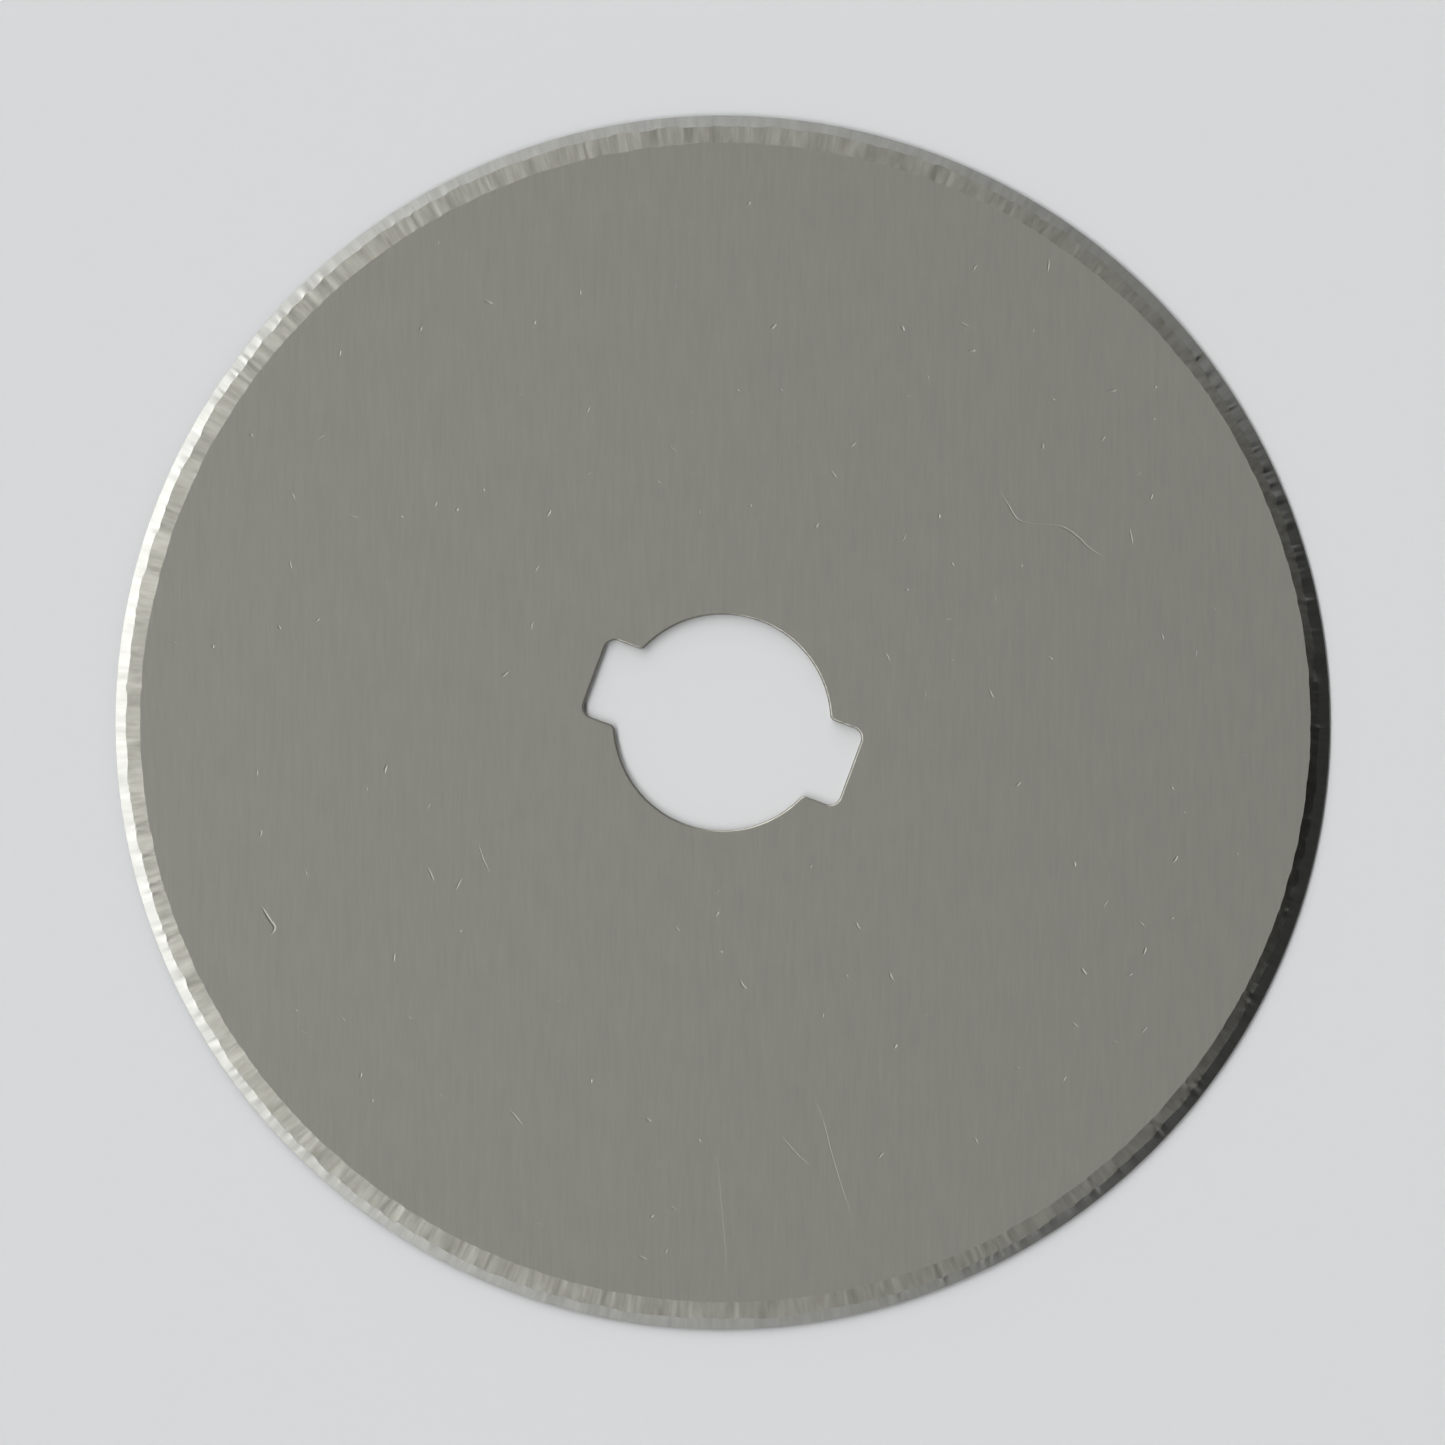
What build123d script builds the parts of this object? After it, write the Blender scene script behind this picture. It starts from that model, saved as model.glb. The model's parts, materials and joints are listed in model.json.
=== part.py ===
"""Round blade for a hand rotary cutter: one thin steel disc, 45 mm across.

The rim is ground on both sides in two steps, a wide shallow facet and then a narrow steeper one
that meets its twin at the cutting edge, halfway up the disc. The hole in the middle is pierced with
two square notches, which key the blade to its hub. The punch enters from above, so the upper lip of
the hole is rolled over and the lower lip only has its burr taken off.

Frame: the hole's axis is Z and the lower face lies at Z = 0. The notches lie along X.
Lengths are in millimetres and angles in degrees.
"""

from build123d import *

import os
from math import radians, tan

# Disc
blade_diameter = 45.0
blade_thickness = 0.3

# Ground rim, each width measured along the radius
shallow_facet_width = 0.58
shallow_facet_angle = 5.0
steep_facet_width = 0.40

# Hole
hole_diameter = 8.0
notch_span = 10.1
notch_width = 3.0
notch_corner_radius = 0.4
notch_mouth_radius = 0.25

# Lips of the hole
rollover_radius = 0.07
burr_chamfer = 0.03

# Worked out from the above
edge_radius = blade_diameter / 2
facet_break_radius = edge_radius - steep_facet_width
face_radius = facet_break_radius - shallow_facet_width
shallow_facet_drop = shallow_facet_width * tan(radians(shallow_facet_angle))
hole_radius = hole_diameter / 2

with BuildPart() as blade:
    # Half-section of the disc with both rims, from the axis out to the cutting edge
    with BuildSketch(Plane.XZ):
        with BuildLine():
            Polyline(
                (0, 0),
                (face_radius, 0),
                (facet_break_radius, shallow_facet_drop),
                (edge_radius, blade_thickness / 2),
                (facet_break_radius, blade_thickness - shallow_facet_drop),
                (face_radius, blade_thickness),
                (0, blade_thickness),
                close=True,
            )
        make_face()
    revolve(axis=Axis.Z)

    # Hole and both notches, pierced in one stroke
    with BuildSketch() as piercing:
        Circle(hole_radius)
        Rectangle(notch_span, notch_width)
        corners = piercing.vertices().group_by(lambda corner: round(corner.center().length, 3))
        fillet(corners[-1], notch_corner_radius)
        mouths = piercing.vertices().filter_by(
            lambda corner: abs(corner.center().length - hole_radius) < notch_mouth_radius / 2
        )
        fillet(mouths, notch_mouth_radius)
    extrude(amount=blade_thickness, mode=Mode.SUBTRACT)

    # Lips of the hole, above and below
    upper_lip = blade.faces().sort_by(Axis.Z)[-1].inner_wires()[0]
    fillet(upper_lip.edges(), rollover_radius)
    lower_lip = blade.faces().sort_by(Axis.Z)[0].inner_wires()[0]
    chamfer(lower_lip.edges(), burr_chamfer)

blade.part.label = "blade"

os.makedirs("parts", exist_ok=True)
export_step(blade.part, "parts/blade.step")
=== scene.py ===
"""Looks of a round blade for a hand rotary cutter, lying on a pale floor under a studio light.

One mesh piece stands for the frame's blade. Its rim is ground stroke by stroke by Geometry Nodes,
and the scratches and nicks of its faces are cut into the mesh.

Shapes are worked out in millimetres, with the hole's axis on Z and the notches along X, and become
metres when their mesh is made.
"""

import json
from math import atan2, cos, degrees, hypot, pi, radians, sin, sqrt, tan
from random import Random

import bpy
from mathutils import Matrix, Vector
from mathutils.geometry import delaunay_2d_cdt
from mathutils.kdtree import KDTree


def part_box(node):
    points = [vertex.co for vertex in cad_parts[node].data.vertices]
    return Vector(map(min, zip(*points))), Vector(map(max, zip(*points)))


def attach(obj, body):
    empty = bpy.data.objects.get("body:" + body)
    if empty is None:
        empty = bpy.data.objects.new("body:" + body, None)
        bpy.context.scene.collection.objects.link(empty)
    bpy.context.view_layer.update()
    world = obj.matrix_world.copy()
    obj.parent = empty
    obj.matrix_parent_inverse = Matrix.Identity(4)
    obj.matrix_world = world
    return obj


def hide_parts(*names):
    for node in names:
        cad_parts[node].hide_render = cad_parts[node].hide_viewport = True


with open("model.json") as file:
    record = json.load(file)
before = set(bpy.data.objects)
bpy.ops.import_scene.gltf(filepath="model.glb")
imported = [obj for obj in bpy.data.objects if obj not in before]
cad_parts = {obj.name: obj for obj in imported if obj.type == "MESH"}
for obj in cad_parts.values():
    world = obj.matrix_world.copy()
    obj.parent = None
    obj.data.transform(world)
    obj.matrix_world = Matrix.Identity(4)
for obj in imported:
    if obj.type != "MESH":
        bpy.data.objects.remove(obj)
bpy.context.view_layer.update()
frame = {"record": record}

MM = 0.001

# Disc and hole, from the frame
low_corner, high_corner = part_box("blade")
edge_radius = high_corner.x / MM
thickness = (high_corner.z - low_corner.z) / MM
hub_bore = next(mount for mount in frame["record"]["mounts"] if mount["name"] == "hub_bore")
hole_radius = hub_bore["dims"]["r_mm"]

# Ground rim, each width measured along the radius
shallow_facet_width = 0.58
shallow_facet_angle = 5.0
steep_facet_width = 0.40
rim_points = 3456

# Before it is ground, the rim's inner border lies border_spare further out than those widths put it. It
# also swings by border_swell once and twice a turn, furthest out at the right of the photograph's view
border_spare = 0.08
border_swell = 0.10

# Grinding: the length of a stroke along the rim in each pass of the wheel, how hollow a stroke is, how
# much its depth swells, and by how many strokes its borders wander
shallow_stroke = 0.35
cross_stroke = 0.60
steep_stroke = 0.22
stroke_hollow = 0.002
stroke_swell = 0.05
stroke_drift = 3.0

# Shares of the shallow facet's cut that are left at its inner border and on the steep facet
border_share = 0.25
steep_share = 0.15

# Notches and lips of the hole
notch_reach = 5.05
notch_half_width = 1.5
notch_corner_radius = 0.4
notch_mouth_radius = 0.25
rollover_radius = 0.07
burr_chamfer = 0.03

# The photograph's view: straight down, with the notches turned this far clockwise from level
view_turn = 20.3
frame_fill = 0.84
lens_mm = 1200.0
sensor_mm = 36.0

# Worked out from the above
break_radius = edge_radius - steep_facet_width
face_radius = break_radius - shallow_facet_width
shallow_slope = tan(radians(shallow_facet_angle))
steep_slope = (thickness / 2 - shallow_facet_width * shallow_slope) / steep_facet_width

# Faces of the mesh by how they were made, each with a material of its own
FACE, SHALLOW, STEEP, PIERCED = range(4)

# Rings of the mesh that the grinding moves
FACE_RING, BREAK_RING = 1, 2

# Hairline scratches as the photograph shows them, as (width, points) in its own view: millimetres
# right of and above the hole's axis
scratches = [
    (0.13, [(-17.1, -6.8), (-16.8, -7.3), (-16.6, -7.62), (-16.8, -7.9)]),
    (0.085, [(-10.95, -5.35), (-10.8, -5.65), (-10.7, -5.9)]),
    (0.065, [(-9.05, -4.5), (-8.9, -5.0), (-8.65, -5.55)]),
    (0.08, [(-9.65, -5.75), (-9.8, -6.0), (-9.92, -6.25)]),
    (0.085, [(12.1, 17.2), (12.08, 16.95), (12.06, 16.7)]),
    (0.10, [(10.3, 8.55), (10.6, 8.05), (10.94, 7.53), (11.4, 7.38), (12.0, 7.34), (12.64, 7.23),
            (13.19, 6.86), (13.6, 6.46), (14.2, 6.1)]),
    (0.075, [(15.1, 7.2), (15.15, 6.9), (15.2, 6.6)]),
    (0.04, [(3.39, -13.9), (3.74, -14.8), (3.99, -15.79), (4.19, -16.49), (4.44, -17.29), (4.86, -18.5)]),
    (0.055, [(2.05, -15.2), (2.8, -16.05), (3.4, -16.55)]),
    (0.025, [(-0.2, -16.0), (0.0, -18.5), (0.2, -20.6)]),
    (0.08, [(-7.9, -14.35), (-7.6, -14.7), (-7.42, -14.95)]),
]

# Grooves of the scratches and nicks: the slope of their walls and the length of one step along them
wall_slope = 0.10
groove_step = 0.08

# Nicks: how many, how far apart, their ranges of width and of half length, and how far they bend as a
# share of that
nick_count = 140
nick_gap = 0.8
nick_widths = (0.06, 0.125)
nick_halves = (0.06, 0.2)
nick_bend = 0.3


def linear(hex_colour):
    """An sRGB hex colour as linear RGBA."""
    channels = [int(hex_colour[i:i + 2], 16) / 255 for i in (1, 3, 5)]
    return [c / 12.92 if c <= 0.04045 else ((c + 0.055) / 1.055) ** 2.4 for c in channels] + [1.0]


def add(tree, kind, inputs=(), **settings):
    """Adds a node, sets it up, and fills its inputs with values, other nodes or their outputs."""
    node = tree.nodes.new(kind)
    for name, value in settings.items():
        setattr(node, name, value)
    for key, value in dict(inputs).items():
        if isinstance(value, bpy.types.Node):
            value = value.outputs[0]
        if isinstance(value, bpy.types.NodeSocket):
            tree.links.new(value, node.inputs[key])
        else:
            node.inputs[key].default_value = value
    return node


# Outline of the hole


def arc(centre, radius, start, stop, steps, steel_outside=True):
    """Points of an arc, each with the direction that leads into the steel. Angles are in degrees."""
    side = 1 if steel_outside else -1
    points = []
    for step in range(steps + 1):
        angle = radians(start + (stop - start) * step / steps)
        x, y = cos(angle), sin(angle)
        points.append((centre[0] + radius * x, centre[1] + radius * y, side * x, side * y))
    return points


def hole_outline():
    """The notched hole, anticlockwise from the middle of the right-hand notch's end."""
    corner = (notch_reach - notch_corner_radius, notch_half_width - notch_corner_radius)
    mouth_y = notch_half_width + notch_mouth_radius
    mouth_x = sqrt((hole_radius + notch_mouth_radius) ** 2 - mouth_y**2)
    mouth_angle = degrees(atan2(mouth_y, mouth_x))
    mouth = (mouth_x, mouth_y)
    corner_steps, mouth_steps, wall_steps = 10, 8, 44
    quarter = [(notch_reach, 0.0, 1.0, 0.0)]
    quarter += arc(corner, notch_corner_radius, 0, 90, corner_steps)
    quarter += arc(mouth, notch_mouth_radius, 270, 180 + mouth_angle, mouth_steps, steel_outside=False)
    quarter += arc((0, 0), hole_radius, mouth_angle, 90, wall_steps)[1:]
    half = quarter + [(-x, y, -nx, ny) for x, y, nx, ny in reversed(quarter[:-1])]
    return half[:-1] + [(-x, -y, -nx, -ny) for x, y, nx, ny in half[:-1]]


# Scratches and nicks


def as_seen(x, y):
    """A place in the photograph's view as a place on the blade."""
    turn = radians(view_turn)
    return (x * cos(turn) - y * sin(turn), x * sin(turn) + y * cos(turn))


def smooth_path(points, step):
    """A smooth curve through all the points, as points about one step apart."""
    chain = [Vector(p) for p in points]
    chain = [2 * chain[0] - chain[1]] + chain + [2 * chain[-1] - chain[-2]]
    path = []
    for a, b, c, d in zip(chain, chain[1:], chain[2:], chain[3:]):
        count = max(2, round((c - b).length / step))
        for i in range(count):
            t = i / count
            bend = (2 * a - 5 * b + 4 * c - d) * t**2 + (3 * b - a - 3 * c + d) * t**3
            path.append((2 * b + (c - a) * t + bend) / 2)
    return path + [chain[-2]]


def groove(points, width):
    """A V-shaped groove, pointed at both ends: flat points, their depths, and the edges between them."""
    path = smooth_path([as_seen(*point) for point in points], groove_step)
    reach = [0.0]
    for a, b in zip(path, path[1:]):
        reach.append(reach[-1] + (b - a).length)
    flat, depths = [tuple(path[0])], [0.0]
    for i in range(1, len(path) - 1):
        swell = sqrt(sin(pi * reach[i] / reach[-1]))
        along = (path[i + 1] - path[i - 1]).normalized()
        side = Vector((-along.y, along.x)) * width / 2 * swell
        flat += [tuple(path[i] + side), tuple(path[i]), tuple(path[i] - side)]
        depths += [0.0, wall_slope * width / 2 * swell, 0.0]
    flat.append(tuple(path[-1]))
    depths.append(0.0)
    last = len(flat) - 1
    edges = [(0, 1), (0, 2), (0, 3), (last - 3, last), (last - 2, last), (last - 1, last)]
    edges += [(i, i + 3) for i in range(1, last - 3)]
    return flat, depths, edges


def nicks(seed):
    """Small bent marks of handling, scattered over a face, each as a scratch is given."""
    chance = Random(seed)
    taken = [tuple(spot) for _, points in scratches for spot in smooth_path(points, nick_gap / 2)]
    inner, outer = notch_reach + nick_gap, face_radius - nick_gap
    marks = []
    while len(marks) < nick_count:
        away, turn = sqrt(chance.uniform(inner**2, outer**2)), chance.uniform(0, 2 * pi)
        middle = Vector((away * cos(turn), away * sin(turn)))
        heading = chance.uniform(0, pi)
        half = Vector((cos(heading), sin(heading))) * chance.uniform(*nick_halves)
        bent = middle + half.orthogonal() * chance.uniform(-nick_bend, nick_bend)
        width = chance.uniform(*nick_widths)
        if all(hypot(middle.x - x, middle.y - y) > nick_gap for x, y in taken):
            taken.append(tuple(middle))
            marks.append((width, [tuple(middle - half), tuple(bent), tuple(middle + half)]))
    return marks


# Blank: the punched disc before its rim is ground


class Blank:
    """A mesh under construction, with its rings, how each face was made, and a map in millimetres."""

    def __init__(self):
        self.points, self.rings = [], []
        self.faces, self.zones, self.maps = [], [], []

    def ring(self, points, mark=0):
        """Adds points and gives their numbers. The mark says whether the grinding moves them."""
        first = len(self.points)
        self.points += points
        self.rings += [mark] * len(points)
        return list(range(first, len(self.points)))

    def skin(self, a, b, zone, across_a, across_b):
        """Quads from ring a to ring b, mapped along the ring and across it."""
        along = 0.0
        for i, corner in enumerate(a):
            j = (i + 1) % len(a)
            end = along + (Vector(self.points[a[j]]) - Vector(self.points[corner])).length
            self.faces.append((corner, a[j], b[j], b[i]))
            self.zones.append(zone)
            self.maps.append(((along, across_a), (end, across_a), (end, across_b), (along, across_b)))
            along = end


def rim_ring(radius, count=rim_points):
    """Flat points spaced evenly round the axis."""
    return [(radius * cos(2 * pi * i / count), radius * sin(2 * pi * i / count)) for i in range(count)]


def border_radius(x, y):
    """Where the ground rim begins, in the direction of a point."""
    turn = atan2(y, x) - radians(view_turn)
    return face_radius + border_spare + border_swell * (cos(turn) + cos(2 * turn))


def holds(outline, x, y):
    """Whether a closed outline goes round the point."""
    odd = False
    for (x1, y1), (x2, y2) in zip(outline, outline[1:] + outline[:1]):
        if (y1 > y) != (y2 > y) and x < x1 + (y - y1) * (x2 - x1) / (y2 - y1):
            odd = not odd
    return odd


def spread(blank, outer, inner, height, marks, upwards=True):
    """Triangles between the rim's ring and the hole's ring, all flat but for the marks' grooves."""
    known = outer + inner
    flat = [blank.points[i][:2] for i in known]
    depths = [0.0] * len(flat)
    edges = [(i, (i + 1) % len(outer)) for i in range(len(outer))]
    edges += [(len(outer) + i, len(outer) + (i + 1) % len(inner)) for i in range(len(inner))]
    for width, points in marks:
        groove_points, groove_depths, groove_edges = groove(points, width)
        edges += [(len(flat) + a, len(flat) + b) for a, b in groove_edges]
        flat += groove_points
        depths += groove_depths

    # Rings of points, clear of the grooves, so that no triangle is a long sliver. The first has a quarter
    # of the rim's points. Each next one has half as many as the last, down to the fewest, and lies two of
    # the last one's point gaps further in
    taken = KDTree(len(flat))
    for i, (x, y) in enumerate(flat):
        taken.insert((x, y, 0.0), i)
    taken.balance()
    first_gap, clearance, fewest = 0.3, 0.1, 54
    radius, count = face_radius - first_gap, rim_points // 4
    while radius > notch_reach:
        fresh = [point for point in rim_ring(radius, count) if taken.find((*point, 0.0))[2] > clearance]
        flat += fresh
        depths += [0.0] * len(fresh)
        radius -= 4 * pi * radius / count
        count = max(fewest, count // 2)

    # Output 1 keeps what lies inside the outermost edges, so also the hole, which is left out below
    inside, tolerance = 1, 1e-6
    places = [Vector(p) for p in flat]
    found, _, triangles, sources, _, _ = delaunay_2d_cdt(places, edges, [], inside, tolerance)
    into_steel = -1 if upwards else 1
    place = []
    for spot, source in zip(found, sources):
        if source and min(source) < len(known):
            place.append(known[min(source)])
        else:
            deep = max((depths[i] for i in source), default=0.0)
            place += blank.ring([(spot.x, spot.y, height + into_steel * deep)])
    turn = radians(view_turn)
    hole, hole_corners = [blank.points[i][:2] for i in inner], set(inner)
    for triangle in triangles:
        corners = [place[i] for i in (triangle if upwards else reversed(triangle))]
        spots = [blank.points[i][:2] for i in corners]
        middle = sum((Vector(spot) for spot in spots), Vector((0, 0))) / 3
        if hole_corners.issuperset(corners) and holds(hole, middle.x, middle.y):
            continue
        blank.faces.append(tuple(corners))
        blank.zones.append(FACE)
        in_view = [(x * cos(turn) + y * sin(turn), y * cos(turn) - x * sin(turn)) for x, y in spots]
        blank.maps.append(in_view)


def make_blank():
    """The blank's mesh, in metres, with its rings and zones as attributes for the grinding."""
    blank = Blank()
    outline = hole_outline()

    # Rim, from the lower face up over the cutting edge to the upper face
    border, breaks = [], []
    for x, y in rim_ring(1.0):
        reach = border_radius(x, y)
        border.append((reach * x, reach * y))
        breaks.append((break_radius * x, break_radius * y, (break_radius - reach) * shallow_slope))
    lower_face_ring = blank.ring([(x, y, 0.0) for x, y in border], FACE_RING)
    lower_break = blank.ring([(x, y, drop) for x, y, drop in breaks], BREAK_RING)
    edge = blank.ring([(x, y, thickness / 2) for x, y in rim_ring(edge_radius)])
    upper_break = blank.ring([(x, y, thickness - drop) for x, y, drop in breaks], BREAK_RING)
    upper_face_ring = blank.ring([(x, y, thickness) for x, y in border], FACE_RING)
    whole = shallow_facet_width + steep_facet_width
    blank.skin(lower_face_ring, lower_break, SHALLOW, whole, steep_facet_width)
    blank.skin(lower_break, edge, STEEP, steep_facet_width, 0.0)
    blank.skin(edge, upper_break, STEEP, 0.0, steep_facet_width)
    blank.skin(upper_break, upper_face_ring, SHALLOW, steep_facet_width, whole)

    # Hole, from its rolled-over upper lip down the wall to the chamfer, as (offset, height)
    lip_steps = 7
    levels = []
    for step in range(lip_steps + 1):
        angle = radians(90 * step / lip_steps)
        levels.append((rollover_radius * (1 - sin(angle)), thickness - rollover_radius * (1 - cos(angle))))
    levels += [(0.0, burr_chamfer), (burr_chamfer, 0.0)]
    hole_rings = []
    for offset, z in levels:
        hole_rings.append(blank.ring([(x + offset * nx, y + offset * ny, z) for x, y, nx, ny in outline]))
    for i, (above, below) in enumerate(zip(hole_rings, hole_rings[1:])):
        blank.skin(above, below, PIERCED, levels[i][1], levels[i + 1][1])

    spread(blank, upper_face_ring, hole_rings[0], thickness, scratches + nicks(seed=3))
    spread(blank, lower_face_ring, hole_rings[-1], 0.0, nicks(seed=4), upwards=False)

    mesh = bpy.data.meshes.new("blank")
    mesh.from_pydata([[value * MM for value in point] for point in blank.points], [], blank.faces)
    mesh.attributes.new("ring", "INT", "POINT").data.foreach_set("value", blank.rings)
    mesh.attributes.new("zone", "INT", "FACE").data.foreach_set("value", blank.zones)
    surface = mesh.uv_layers.new(name="surface")
    surface.data.foreach_set("uv", [value for face in blank.maps for corner in face for value in corner])
    mesh.polygons.foreach_set("use_smooth", [zone != FACE for zone in blank.zones])
    sharp_rings = [set(ring) for ring in (lower_break, edge, upper_break, hole_rings[-2])]
    sharp = [any(set(one.vertices) <= ring for ring in sharp_rings) for one in mesh.edges]
    mesh.edges.foreach_set("use_edge_sharp", sharp)
    mesh.validate()
    return mesh


# Grinding


def stroke_depth_group():
    """Depth that the grinding wheel's strokes cut, in metres, at each place round the rim.

    Each stroke crosses the facet along the radius. It is hollow across and drifts in width, so its
    neighbours meet in low ridges, and the depth swells and ebbs from stroke to stroke.
    """
    group = bpy.data.node_groups.new("stroke depth", "GeometryNodeTree")
    for name in ("Strokes", "Hollow", "Swell", "Drift", "Seed"):
        group.interface.new_socket(name, in_out="INPUT", socket_type="NodeSocketFloat")
    group.interface.new_socket("Depth", in_out="OUTPUT", socket_type="NodeSocketFloat")
    given = add(group, "NodeGroupInput").outputs
    place = add(group, "GeometryNodeInputPosition")
    xyz = add(group, "ShaderNodeSeparateXYZ", {0: place}).outputs
    direction = add(group, "ShaderNodeVectorMath", {0: place}, operation="NORMALIZE")

    # The upper side's seed is side_gap further on, so each side of the blade has strokes of its own
    side_gap = 100.0
    upper = add(group, "ShaderNodeMath", {0: xyz["Z"], 1: thickness / 2 * MM}, operation="GREATER_THAN")
    seed = add(group, "ShaderNodeMath", {0: upper, 1: side_gap, 2: given["Seed"]}, operation="MULTIPLY_ADD")

    # Noise on the circle of radius 1, with cells that are per_cell strokes long
    per_cell, detail = 1.5, 1.5
    cells = add(group, "ShaderNodeMath", {0: given["Strokes"], 1: 2 * pi * per_cell}, operation="DIVIDE")
    noise = {"Vector": direction, "W": seed, "Scale": cells, "Detail": detail}
    uneven = add(group, "ShaderNodeTexNoise", noise, noise_dimensions="4D")
    centred = add(group, "ShaderNodeMath", {0: uneven, 1: 0.5}, operation="SUBTRACT")
    swell = add(group, "ShaderNodeMath", {0: centred, 1: given["Swell"]}, operation="MULTIPLY")

    # Strokes counted round the rim. A noise with cells that many times longer makes their borders
    # wander by up to Drift strokes
    slower, slow_detail = 3.0, 1.0
    angle = add(group, "ShaderNodeMath", {0: xyz["Y"], 1: xyz["X"]}, operation="ARCTAN2")
    turns = add(group, "ShaderNodeMath", {0: angle, 1: 2 * pi}, operation="DIVIDE")
    count = add(group, "ShaderNodeMath", {0: turns, 1: given["Strokes"]}, operation="MULTIPLY")
    slow = add(group, "ShaderNodeMath", {0: cells, 1: slower}, operation="DIVIDE")
    noise = {"Vector": direction, "W": seed, "Scale": slow, "Detail": slow_detail}
    wander = add(group, "ShaderNodeTexNoise", noise, noise_dimensions="4D")
    drifted = add(
        group, "ShaderNodeMath", {0: wander, 1: given["Drift"], 2: count}, operation="MULTIPLY_ADD"
    )

    # 4 x (1 - x) is 0 at a stroke's borders and 1 in its middle
    part = add(group, "ShaderNodeMath", {0: drifted}, operation="FRACT")
    rest = add(group, "ShaderNodeMath", {0: 1.0, 1: part}, operation="SUBTRACT")
    bow = add(group, "ShaderNodeMath", {0: part, 1: rest}, operation="MULTIPLY")
    bow = add(group, "ShaderNodeMath", {0: bow, 1: 4.0}, operation="MULTIPLY")
    depth = add(group, "ShaderNodeMath", {0: bow, 1: given["Hollow"], 2: swell}, operation="MULTIPLY_ADD")
    add(group, "NodeGroupOutput", {"Depth": depth})
    return group


def grinding_tree(materials):
    """Cuts the facets' strokes into the blank's rim and gives each kind of face its material.

    The wheel rocks as it cuts, so only a share of the shallow facet's cut is left at its inner
    border, which it moves inwards along the flat face. All of it is there at the break between the
    two facets, which moves to where their cut surfaces meet.
    """
    tree = bpy.data.node_groups.new("ground rim", "GeometryNodeTree")
    tree.interface.new_socket("Geometry", in_out="INPUT", socket_type="NodeSocketGeometry")
    for name in ("Shallow slope", "Steep slope", "Shallow strokes", "Cross strokes", "Steep strokes",
                 "Hollow", "Swell", "Drift", "Border share", "Steep share", "Seed"):
        tree.interface.new_socket(name, in_out="INPUT", socket_type="NodeSocketFloat")
    tree.interface.new_socket("Geometry", in_out="OUTPUT", socket_type="NodeSocketGeometry")
    given = add(tree, "NodeGroupInput").outputs

    # Cut depths: two passes of the wheel on the shallow facet, the deeper one winning, and one
    # finer pass on the steep facet
    strokes = stroke_depth_group()
    coarse = {"Hollow": given["Hollow"], "Swell": given["Swell"], "Drift": given["Drift"]}
    fine = {"Drift": given["Drift"]}
    for name in ("Hollow", "Swell"):
        fine[name] = add(
            tree, "ShaderNodeMath", {0: given[name], 1: given["Steep share"]}, operation="MULTIPLY"
        )
    cuts = []
    passes = [("Shallow strokes", coarse), ("Cross strokes", coarse), ("Steep strokes", fine)]
    for number, (kind, depth) in enumerate(passes):
        seed = add(tree, "ShaderNodeMath", {0: given["Seed"], 1: float(number)}, operation="ADD")
        inputs = {"Strokes": given[kind], "Seed": seed, **depth}
        cuts.append(add(tree, "GeometryNodeGroup", inputs, node_tree=strokes))
    shallow_cut = add(tree, "ShaderNodeMath", {0: cuts[0], 1: cuts[1]}, operation="MAXIMUM")
    steep_cut = cuts[2]

    # How far each ring moves along the radius, outwards being positive, and how far the break sinks
    left = add(tree, "ShaderNodeMath", {0: shallow_cut, 1: given["Border share"]}, operation="MULTIPLY")
    inward = add(tree, "ShaderNodeMath", {0: left, 1: given["Shallow slope"]}, operation="DIVIDE")
    face_shift = add(tree, "ShaderNodeMath", {0: inward, 1: -1.0}, operation="MULTIPLY")
    deeper = add(tree, "ShaderNodeMath", {0: shallow_cut, 1: steep_cut}, operation="SUBTRACT")
    slope_gap = add(
        tree, "ShaderNodeMath", {0: given["Steep slope"], 1: given["Shallow slope"]}, operation="SUBTRACT"
    )
    break_shift = add(tree, "ShaderNodeMath", {0: deeper, 1: slope_gap}, operation="DIVIDE")
    break_fall = add(tree, "ShaderNodeMath", {
        0: break_shift, 1: given["Steep slope"], 2: steep_cut
    }, operation="MULTIPLY_ADD")

    ring = add(tree, "GeometryNodeInputNamedAttribute", {"Name": "ring"}, data_type="INT")
    at_face = add(tree, "ShaderNodeMath", {0: ring, 1: float(FACE_RING), 2: 0.5}, operation="COMPARE")
    at_break = add(tree, "ShaderNodeMath", {0: ring, 1: float(BREAK_RING), 2: 0.5}, operation="COMPARE")
    out_by = add(tree, "ShaderNodeMath", {0: face_shift, 1: at_face}, operation="MULTIPLY")
    out_by = add(tree, "ShaderNodeMath", {0: break_shift, 1: at_break, 2: out_by}, operation="MULTIPLY_ADD")
    xyz = add(tree, "ShaderNodeSeparateXYZ", {0: add(tree, "GeometryNodeInputPosition")}).outputs
    level = add(tree, "ShaderNodeCombineXYZ", {"X": xyz["X"], "Y": xyz["Y"]})
    outwards = add(tree, "ShaderNodeVectorMath", {0: level}, operation="NORMALIZE")
    sideways = add(tree, "ShaderNodeVectorMath", {0: outwards, "Scale": out_by}, operation="SCALE")

    # The cut goes down into the upper side and up into the lower side
    below = add(tree, "ShaderNodeMath", {0: thickness / 2 * MM, 1: xyz["Z"]}, operation="SUBTRACT")
    side = add(tree, "ShaderNodeMath", {0: below}, operation="SIGN")
    rise = add(tree, "ShaderNodeMath", {0: break_fall, 1: side}, operation="MULTIPLY")
    rise = add(tree, "ShaderNodeMath", {0: rise, 1: at_break}, operation="MULTIPLY")
    move = add(tree, "ShaderNodeVectorMath", {
        0: sideways, 1: add(tree, "ShaderNodeCombineXYZ", {"Z": rise})
    }, operation="ADD")
    ground = add(tree, "GeometryNodeSetPosition", {"Geometry": given["Geometry"], "Offset": move})

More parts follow.
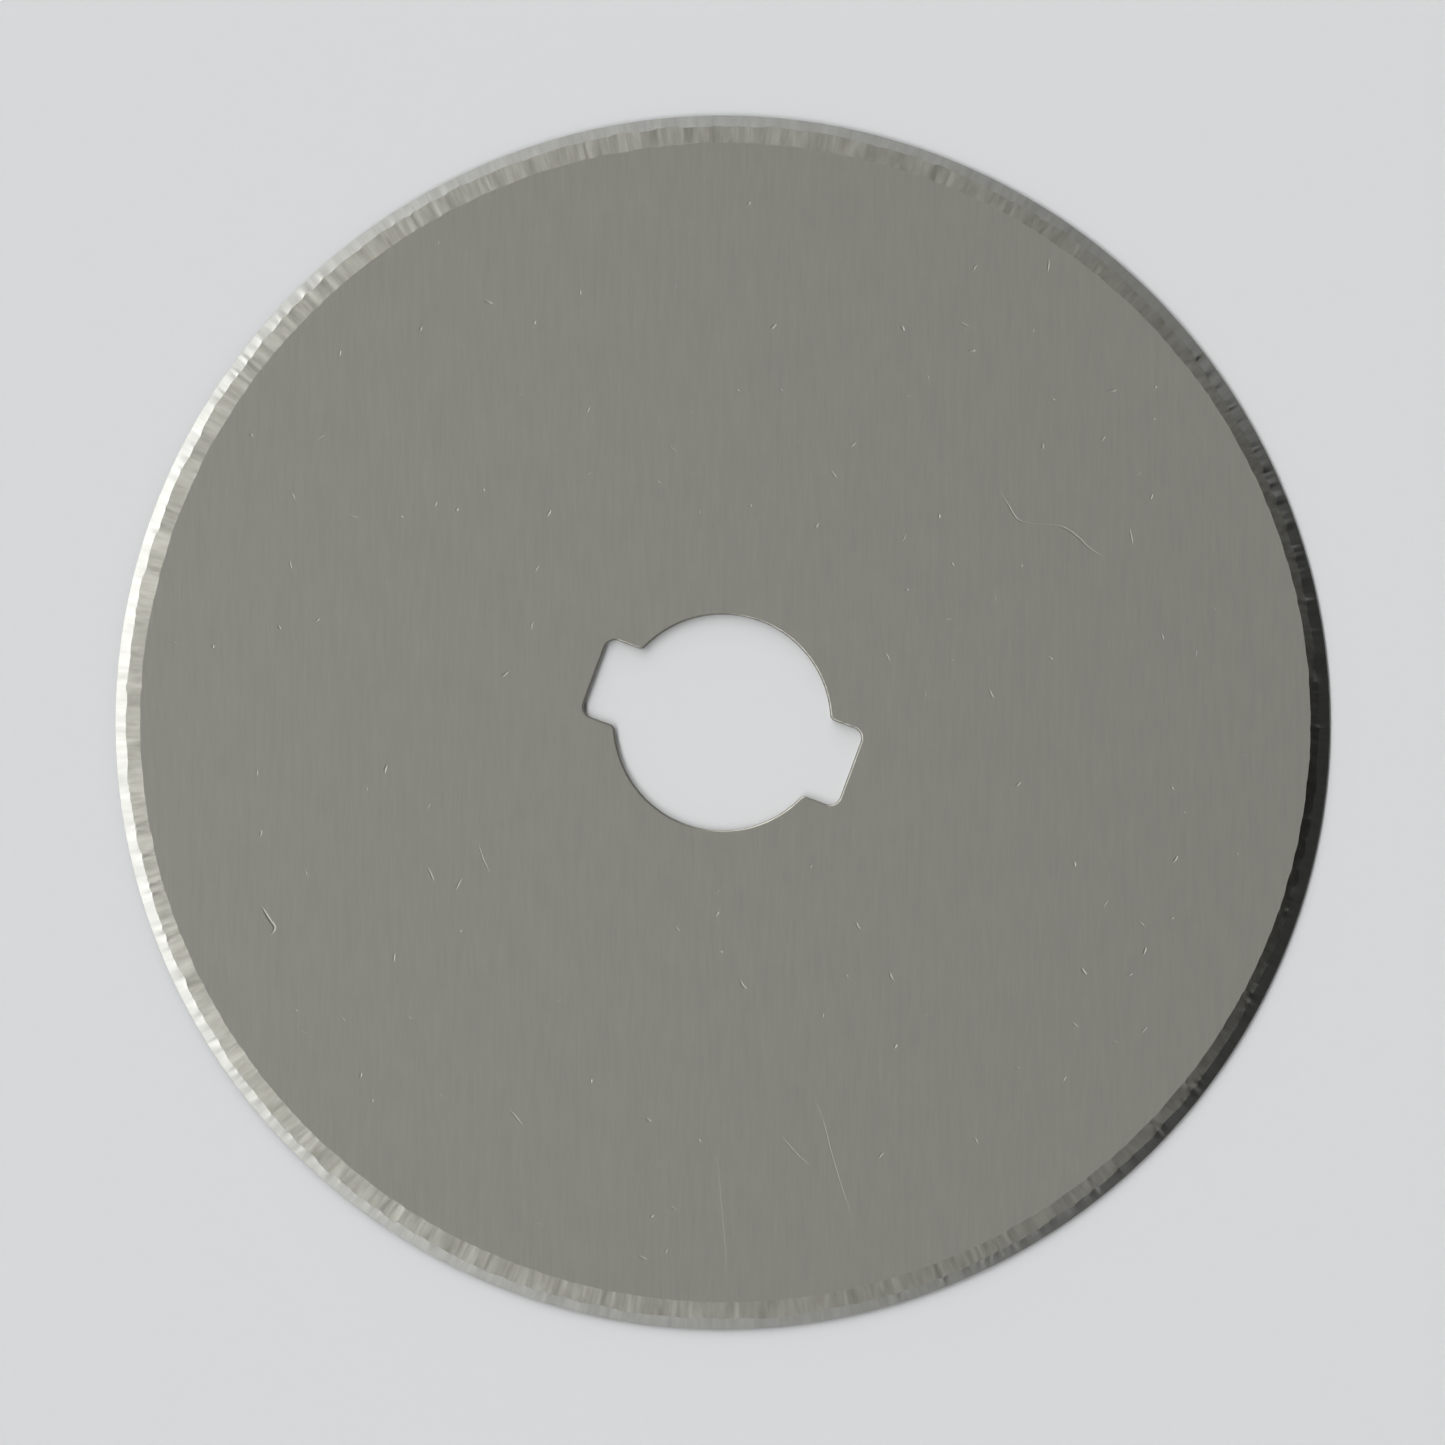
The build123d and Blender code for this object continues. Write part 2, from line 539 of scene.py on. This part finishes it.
    ground = add(tree, "GeometryNodeRealizeInstances", {"Geometry": ground})
    zone = add(tree, "GeometryNodeInputNamedAttribute", {"Name": "zone"}, data_type="INT")
    for kind, material in enumerate(materials):
        chosen = add(tree, "ShaderNodeMath", {0: zone, 1: float(kind), 2: 0.5}, operation="COMPARE")
        ground = add(
            tree, "GeometryNodeSetMaterial", {"Geometry": ground, "Selection": chosen, "Material": material}
        )
    add(tree, "NodeGroupOutput", {"Geometry": ground})
    return tree


def grind(blank, materials):
    """The blank as a finished piece: a plain mesh with the grinding in it."""
    piece = bpy.data.objects.new("blade_steel", blank)
    bpy.context.scene.collection.objects.link(piece)
    tree = grinding_tree(materials)
    grinding = piece.modifiers.new("grinding", "NODES")
    grinding.node_group = tree
    way_round = 2 * pi * (face_radius + edge_radius) / 2
    settings = {
        "Shallow slope": shallow_slope,
        "Steep slope": steep_slope,
        "Shallow strokes": float(round(way_round / shallow_stroke)),
        "Cross strokes": float(round(way_round / cross_stroke)),
        "Steep strokes": float(round(way_round / steep_stroke)),
        "Hollow": stroke_hollow * MM,
        "Swell": stroke_swell * MM,
        "Drift": stroke_drift,
        "Border share": border_share,
        "Steep share": steep_share,
        "Seed": 7.0,
    }
    for item in tree.interface.items_tree:
        if item.in_out == "INPUT" and item.name in settings:
            grinding[item.identifier] = settings[item.name]
    depsgraph = bpy.context.evaluated_depsgraph_get()
    ground = bpy.data.meshes.new_from_object(piece.evaluated_get(depsgraph), depsgraph=depsgraph)
    piece.modifiers.clear()
    piece.data = ground
    ground.name = "blade_steel"
    return piece


# Materials


def steel(name, dark, light, roughness, anisotropy, grain, height_mm):
    """Steel whose colour, gloss and fine relief follow the streaks that its making left.

    roughness is (least, most). grain lists the streaks as (width, length, share), in millimetres
    across and along the map, and height_mm is how deep their relief would be at full contrast.

    Real lines of these finishes are 0.01 to 0.03 mm wide, too fine to show in the render. So the
    finest streaks are drawn about four times as wide, which is as coarse as they need to be to show.
    """
    material = bpy.data.materials.new(name)
    material.use_nodes = True
    tree = material.node_tree
    tree.nodes.clear()
    place = add(tree, "ShaderNodeUVMap", uv_map="surface")
    across = add(tree, "ShaderNodeTangent", direction_type="UV_MAP", uv_map="surface")
    mixed = 0.0
    for width_mm, length_mm, share in grain:
        per_streak = (1 / width_mm, 1 / length_mm, 1.0)
        scaled = add(tree, "ShaderNodeMapping", {"Vector": place, "Scale": per_streak})
        streaks = add(tree, "ShaderNodeTexNoise", {"Vector": scaled, "Scale": 1.0}, noise_dimensions="2D")
        mixed = add(tree, "ShaderNodeMath", {0: streaks, 1: share, 2: mixed}, operation="MULTIPLY_ADD")
    # The noise keeps to the middle of its range, so its contrast is raised here
    toned = add(tree, "ShaderNodeMapRange", {"Value": mixed, "From Min": 0.3, "From Max": 0.7})
    # The Mix node's colours are its sockets 6 and 7, and its output 2
    colour = add(tree, "ShaderNodeMix", {0: toned, 6: linear(dark), 7: linear(light)}, data_type="RGBA")
    least, most = roughness
    rough = add(tree, "ShaderNodeMapRange", {"Value": toned, "To Min": most, "To Max": least})
    relief = add(tree, "ShaderNodeBump", {"Height": mixed, "Distance": height_mm * MM, "Strength": 1.0})
    shader = add(tree, "ShaderNodeBsdfPrincipled", {
        "Base Color": colour.outputs[2],
        "Metallic": 1.0,
        "Roughness": rough,
        "Anisotropic": anisotropy,
        "Tangent": across,
        "Normal": relief,
    })
    add(tree, "ShaderNodeOutputMaterial", {"Surface": shader})
    return material


def satin_strip_steel():
    """Hardened strip steel, satin ground along the strip: a warm even grey with fine straight grain."""
    return steel(
        "satin_strip_steel",
        dark="#97968F",
        light="#A1A098",
        roughness=(0.365, 0.385),
        anisotropy=0.18,
        grain=[(0.08, 1.2, 0.35), (0.25, 2.5, 0.35), (1.2, 2.0, 0.3)],
        height_mm=0.0015,
    )


def coarse_ground_steel():
    """The first, coarse grind of the rim: bright streaks along the radius that catch the light apart."""
    return steel(
        "coarse_ground_steel",
        dark="#84837B",
        light="#A8A79F",
        roughness=(0.28, 0.31),
        anisotropy=0.96,
        grain=[(0.1, 1.0, 0.2), (0.3, 1.2, 0.45), (0.8, 1.5, 0.35)],
        height_mm=0.004,
    )


def fine_ground_steel():
    """The finishing grind that makes the edge: finer strokes, so it looks smooth and pale."""
    return steel(
        "fine_ground_steel",
        dark="#8D8D89",
        light="#A2A29E",
        roughness=(0.355, 0.375),
        anisotropy=0.98,
        grain=[(0.1, 1.0, 0.2), (0.3, 1.5, 0.45), (0.9, 2.0, 0.35)],
        height_mm=0.003,
    )


def sheared_steel():
    """Steel parted by a punch, which burnishes the upper part of the real wall. Here the whole wall has one
    finish, with fine lines straight down it.
    """
    return steel(
        "sheared_steel",
        dark="#7D7B74",
        light="#A5A39B",
        roughness=(0.32, 0.45),
        anisotropy=0.2,
        grain=[(0.05, 0.6, 0.6), (0.2, 0.4, 0.4)],
        height_mm=0.002,
    )


def matte_floor():
    """Pale matt painted board, for the floor: it shows only soft shadow."""
    material = bpy.data.materials.new("matte_floor")
    material.use_nodes = True
    tree = material.node_tree
    tree.nodes.clear()
    shader = add(tree, "ShaderNodeBsdfPrincipled", {
        "Base Color": linear("#D2D3D4"), "Roughness": 0.9, "Specular IOR Level": 0.2
    })
    add(tree, "ShaderNodeOutputMaterial", {"Surface": shader})
    return material


# Stage


def light_studio():
    """A grey room with a bright wall on the left of the view, a strip light before it, and a black
    flag right of overhead.

    The blade mirrors them: the rim's left half the wall and the light, and its right half the flag.
    """
    world = bpy.data.worlds.new("grey room")
    bpy.context.scene.world = world
    world.use_nodes = True
    tree = world.node_tree
    tree.nodes.clear()
    direction = add(tree, "ShaderNodeTexCoord").outputs["Generated"]

    # Both are ellipses in plan on a dome of radius 1, as (right, up) in the view. A direction's height
    # hardly counts, because it is divided by half_height
    wall = {"middle": (-0.187, 0.207), "half": (0.366, 0.947), "soft": 0.21, "level": 3.943}
    flag = {"middle": (0.20, 0.009), "half": (0.565, 0.812), "soft": 0.097, "level": 0.005}
    half_height = 1000.0
    level = 0.41
    for patch in (wall, flag):
        place = add(tree, "ShaderNodeMapping", {
            "Vector": direction,
            "Location": (*as_seen(*patch["middle"]), 0.0),
            "Rotation": (0.0, 0.0, radians(view_turn)),
            "Scale": (*patch["half"], half_height),
        }, vector_type="TEXTURE")
        away = add(tree, "ShaderNodeVectorMath", {0: place}, operation="LENGTH").outputs["Value"]
        inside = add(tree, "ShaderNodeMapRange", {
            "Value": away, "From Min": 1 + patch["soft"], "From Max": 1 - patch["soft"]
        }, interpolation_type="SMOOTHSTEP")
        level = add(tree, "ShaderNodeMix", {0: inside, 2: level, 3: patch["level"]}, data_type="FLOAT")
    background = add(tree, "ShaderNodeBackground", {"Color": linear("#FFFFFF"), "Strength": level})
    add(tree, "ShaderNodeOutputWorld", {"Surface": background})

    # The strip light, with its long side up and down the view
    from_top, turn = radians(22.0), radians(180.3 + view_turn)
    half_length, half_width = radians(42.0), radians(9.4)
    distance, radiance = 1.5, 2.67
    strip = bpy.data.lights.new("strip light", "AREA")
    strip.shape = "RECTANGLE"
    strip.size = 2 * distance * tan(half_length)
    strip.size_y = 2 * distance * tan(half_width)
    strip.energy = radiance * pi * strip.size * strip.size_y
    aim = Vector((sin(from_top) * cos(turn), sin(from_top) * sin(turn), cos(from_top)))
    lamp = bpy.data.objects.new("strip light", strip)
    lamp.location = aim * distance
    lamp.rotation_euler = aim.to_track_quat("Z", "Y").to_euler()
    bpy.context.scene.collection.objects.link(lamp)


def lay_floor():
    """A floor 6 m wide, just under the blade, so that the two surfaces never share a plane."""
    half, gap = 3.0, 0.01 * MM
    mesh = bpy.data.meshes.new("floor")
    corners = [(-half, -half, -gap), (half, -half, -gap), (half, half, -gap), (-half, half, -gap)]
    mesh.from_pydata(corners, [], [(0, 1, 2, 3)])
    mesh.materials.append(matte_floor())
    floor = bpy.data.objects.new("floor", mesh)
    bpy.context.scene.collection.objects.link(floor)


def set_camera():
    """Straight above the hole, turned so that the notches lie as the photograph shows them."""
    camera = bpy.data.cameras.new("camera")
    camera.lens = lens_mm
    camera.sensor_width = sensor_mm
    camera.clip_start = 0.01
    camera.clip_end = 20
    width = 2 * edge_radius * MM / frame_fill
    viewer = bpy.data.objects.new("camera", camera)
    viewer.location = (0, 0, thickness * MM + width * lens_mm / sensor_mm)
    viewer.rotation_euler = (0, 0, radians(view_turn))
    bpy.context.scene.collection.objects.link(viewer)
    bpy.context.scene.camera = viewer


materials = [satin_strip_steel(), coarse_ground_steel(), fine_ground_steel(), sheared_steel()]
blade = grind(make_blank(), materials)
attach(blade, "root")
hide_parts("blade")

lay_floor()
light_studio()
set_camera()
bpy.context.scene.view_settings.view_transform = "Standard"
